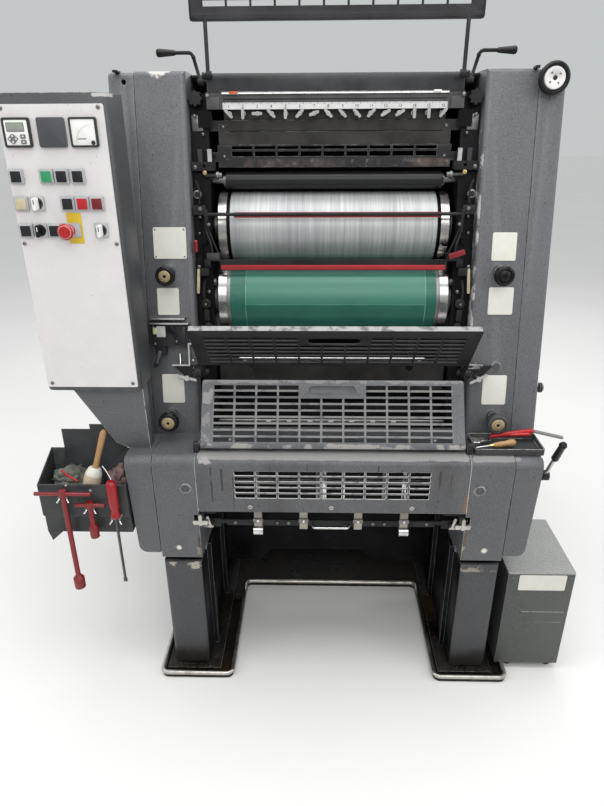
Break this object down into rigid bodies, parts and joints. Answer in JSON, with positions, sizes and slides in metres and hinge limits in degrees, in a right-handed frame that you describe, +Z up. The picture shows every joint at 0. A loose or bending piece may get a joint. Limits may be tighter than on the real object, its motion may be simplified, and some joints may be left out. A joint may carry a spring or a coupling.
{
  "type": "offset printing press",
  "caption": "Single-colour sheet-fed offset printing press with open cylinders, slotted swing guards, control cabinet, pump cabinet, tool box and drip tray.",
  "frame": {"origin": "floor level under the drip tray, on the press's centre plane, 0.85 m behind the tray's front rim", "axes": "+X to the right seen from the delivery end, +Y from the delivery to the feeder, +Z up"},
  "size_m": [1.377, 1.6411, 1.894],
  "materials": {
    "tray_metal": "worn, greasy",
    "hammered_paint": "hammered, chipped",
    "dark_metal": "oily, dark",
    "black_parts": "oily black",
    "bare_steel": "worn",
    "cream_plates": "matt, stained",
    "white_panel": "satin, speckled",
    "instrument_black": "satin",
    "button_plastic": "gloss",
    "red_tools": "worn",
    "plate_metal": "brushed",
    "blanket": "satin green rubber",
    "roller_rubber": "satin",
    "grips": "worn black",
    "brass_knob": "satin",
    "white_plastic": "gloss"
  },
  "bodies": {
    "press": {"drip_tray": "tray_metal", "side_bases": "hammered_paint", "side_boxes": "hammered_paint", "box_covers": "hammered_paint", "towers": "hammered_paint", "tower_covers": "hammered_paint", "delivery_hood": "hammered_paint", "delivery_bar": "dark_metal", "sheet_strips": "dark_metal", "inner_deck": "black_parts", "inner_frames": "black_parts", "ink_cover": "black_parts", "ink_fountain": "dark_metal", "ink_scale": "bare_steel", "ink_keys": "bare_steel", "roller_guard": "dark_metal", "nip_guards": "dark_metal", "guard_hinges": "black_parts", "safety_switch": "black_parts", "blank_plates": "cream_plates", "control_cabinet": "dark_metal", "cabinet_support": "dark_metal", "control_panel": "white_panel", "instruments": "instrument_black", "push_buttons": "button_plastic", "pump_cabinet": "hammered_paint", "tool_box": "dark_metal", "tool_keys": "red_tools", "tool_tray": "hammered_paint", "feeder_housings": "hammered_paint", "feed_board": "bare_steel", "feeder_posts": "hammered_paint", "suction_head": "dark_metal", "pile_table": "dark_metal"},
    "plate_cylinder_body": {"plate_cylinder": "plate_metal"},
    "blanket_cylinder_body": {"blanket_cylinder": "blanket"},
    "form_roller_body": {"form_roller": "roller_rubber"},
    "top_guard_body": {"top_guard": "black_parts"},
    "upper_guard_body": {"upper_guard": "black_parts"},
    "lower_guard_body": {"lower_guard": "hammered_paint"},
    "lever_left_body": {"lever_left": "grips"},
    "lever_right_body": {"lever_right": "grips"},
    "handwheel_body": {"handwheel": "grips"},
    "knob_upper_left_body": {"knob_upper_left": "brass_knob"},
    "knob_upper_right_body": {"knob_upper_right": "brass_knob"},
    "knob_lower_left_body": {"knob_lower_left": "brass_knob"},
    "knob_lower_right_body": {"knob_lower_right": "brass_knob"},
    "side_lever_body": {"side_lever": "grips"},
    "selector_1_body": {"selector_1": "white_plastic"},
    "selector_2_body": {"selector_2": "grips"},
    "selector_3_body": {"selector_3": "white_plastic"}
  },
  "joints": [
    {"name": "plate_spin", "type": "hinge", "parent": "press", "child": "plate_cylinder_body", "pos_m": [0, -0.457, 1.178], "axis": [1, 0, 0], "continuous": true},
    {"name": "blanket_spin", "type": "hinge", "parent": "press", "child": "blanket_cylinder_body", "pos_m": [0, -0.521, 1.0085], "axis": [1, 0, 0], "continuous": true},
    {"name": "roller_spin", "type": "hinge", "parent": "press", "child": "form_roller_body", "pos_m": [0, -0.478, 1.294], "axis": [1, 0, 0], "continuous": true},
    {"name": "top_guard_swing", "type": "hinge", "parent": "press", "child": "top_guard_body", "pos_m": [0, -0.532, 1.522], "axis": [1, 0, 0], "range_deg": [0, 168]},
    {"name": "upper_guard_swing", "type": "hinge", "parent": "press", "child": "upper_guard_body", "pos_m": [0, -0.664, 0.852], "axis": [1, 0, 0], "range_deg": [-50, 8]},
    {"name": "lower_guard_swing", "type": "hinge", "parent": "press", "child": "lower_guard_body", "pos_m": [0, -0.775, 0.706], "axis": [1, 0, 0], "range_deg": [0, 115]},
    {"name": "lever_left_swing", "type": "hinge", "parent": "press", "child": "lever_left_body", "pos_m": [-0.312, -0.496, 1.512], "axis": [1, 0, 0], "range_deg": [-25, 25]},
    {"name": "lever_right_swing", "type": "hinge", "parent": "press", "child": "lever_right_body", "pos_m": [0.312, -0.496, 1.512], "axis": [1, 0, 0], "range_deg": [-25, 25]},
    {"name": "handwheel_turn", "type": "hinge", "parent": "press", "child": "handwheel_body", "pos_m": [0.486, -0.546, 1.511], "axis": [0, 1, 0], "continuous": true},
    {"name": "knob_upper_left_turn", "type": "hinge", "parent": "press", "child": "knob_upper_left_body", "pos_m": [-0.4, -0.65, 1.094], "axis": [0, 1, 0], "range_deg": [-90, 90]},
    {"name": "knob_upper_right_turn", "type": "hinge", "parent": "press", "child": "knob_upper_right_body", "pos_m": [0.4, -0.65, 1.094], "axis": [0, 1, 0], "range_deg": [-90, 90]},
    {"name": "knob_lower_left_turn", "type": "hinge", "parent": "press", "child": "knob_lower_left_body", "pos_m": [-0.41, -0.71, 0.74], "axis": [0, 1, 0], "range_deg": [-90, 90]},
    {"name": "knob_lower_right_turn", "type": "hinge", "parent": "press", "child": "knob_lower_right_body", "pos_m": [0.41, -0.71, 0.74], "axis": [0, 1, 0], "range_deg": [-90, 90]},
    {"name": "side_lever_swing", "type": "hinge", "parent": "press", "child": "side_lever_body", "pos_m": [0.527, -0.773, 0.626], "axis": [1, 0, 0], "range_deg": [-40, 20]},
    {"name": "selector_1_turn", "type": "hinge", "parent": "press", "child": "selector_1_body", "pos_m": [-0.618, -0.79, 1.273], "axis": [0, 1, 0], "range_deg": [-45, 45]},
    {"name": "selector_2_turn", "type": "hinge", "parent": "press", "child": "selector_2_body", "pos_m": [-0.6205, -0.79, 1.219], "axis": [0, 1, 0], "range_deg": [-45, 45]},
    {"name": "selector_3_turn", "type": "hinge", "parent": "press", "child": "selector_3_body", "pos_m": [-0.492, -0.79, 1.219], "axis": [0, 1, 0], "range_deg": [-45, 45]}
  ],
  "couplings": [
    {"joint": "blanket_spin", "follows": "plate_spin", "ratio": -1}
  ]
}
